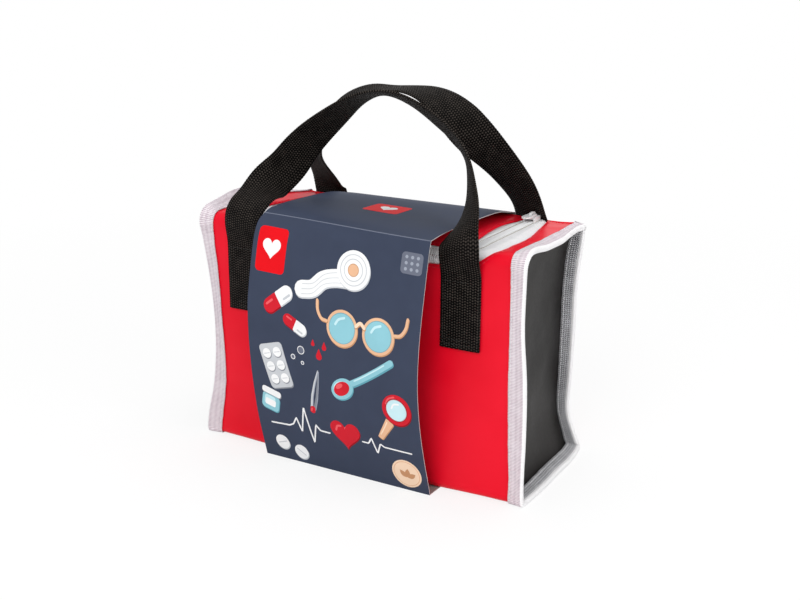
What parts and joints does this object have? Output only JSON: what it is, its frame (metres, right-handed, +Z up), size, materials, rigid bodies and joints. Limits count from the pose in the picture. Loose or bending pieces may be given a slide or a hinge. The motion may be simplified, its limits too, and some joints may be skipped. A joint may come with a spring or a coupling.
{
  "type": "toy doctor case",
  "caption": "Soft zipped toy doctor case in coated fabric with recessed ends, bound edges, webbing handles and a card band.",
  "frame": {"origin": "on the floor under the middle of the case, in the flat bottom of its card band", "axes": "+X along the case to its right, -Y out of its front, +Z up"},
  "size_m": [0.262, 0.1499, 0.2698],
  "materials": {
    "red_coated_fabric": "glossy coated, softly creased",
    "charcoal_coated_fabric": "satin coated",
    "white_grosgrain": "ribbed tape, matte",
    "white_zip_tape": "fine woven tape, matte",
    "white_zip_plastic": "satin",
    "black_webbing": "coarse woven webbing, matte",
    "slate_card": "printed card with a silk coating"
  },
  "bodies": {
    "case": {"body_wrap": "red_coated_fabric", "left_end_panel": "charcoal_coated_fabric", "right_end_panel": "charcoal_coated_fabric", "left_binding": "white_grosgrain", "right_binding": "white_grosgrain", "zipper_outer_tape": "white_zip_tape", "zipper_outer_coil": "white_zip_plastic", "card_band": "slate_card", "front_handle_left_end": "black_webbing", "front_handle_right_end": "black_webbing", "rear_handle_left_end": "black_webbing", "rear_handle_right_end": "black_webbing"},
    "lid": {"lid_panel": "red_coated_fabric", "zipper_inner_tape": "white_zip_tape", "zipper_inner_coil": "white_zip_plastic"},
    "slider": {"zipper_slider": "white_zip_plastic"},
    "pull": {"pull_tab": "white_zip_plastic"},
    "front_handle": {"front_handle": "black_webbing"},
    "rear_handle": {"rear_handle": "black_webbing"}
  },
  "joints": [
    {"name": "lid_fold", "type": "hinge", "parent": "case", "child": "lid", "pos_m": [0, 0.053, 0.1753], "axis": [-1, 0, 0], "range_deg": [0, 3]},
    {"name": "slider_travel", "type": "slide", "parent": "lid", "child": "slider", "axis": [0, 1, 0], "range_m": [-0.07, 0]},
    {"name": "pull_pivot", "type": "hinge", "parent": "slider", "child": "pull", "pos_m": [0.0895, 0.0483, 0.17935], "axis": [-1, 0, 0], "range_deg": [0, 55]},
    {"name": "front_handle_fold", "type": "hinge", "parent": "case", "child": "front_handle", "pos_m": [0, -0.0592, 0.1579], "axis": [1, 0, 0], "range_deg": [0, 170]},
    {"name": "rear_handle_fold", "type": "hinge", "parent": "case", "child": "rear_handle", "pos_m": [0, 0.0592, 0.1579], "axis": [-1, 0, 0], "range_deg": [0, 170]}
  ]
}
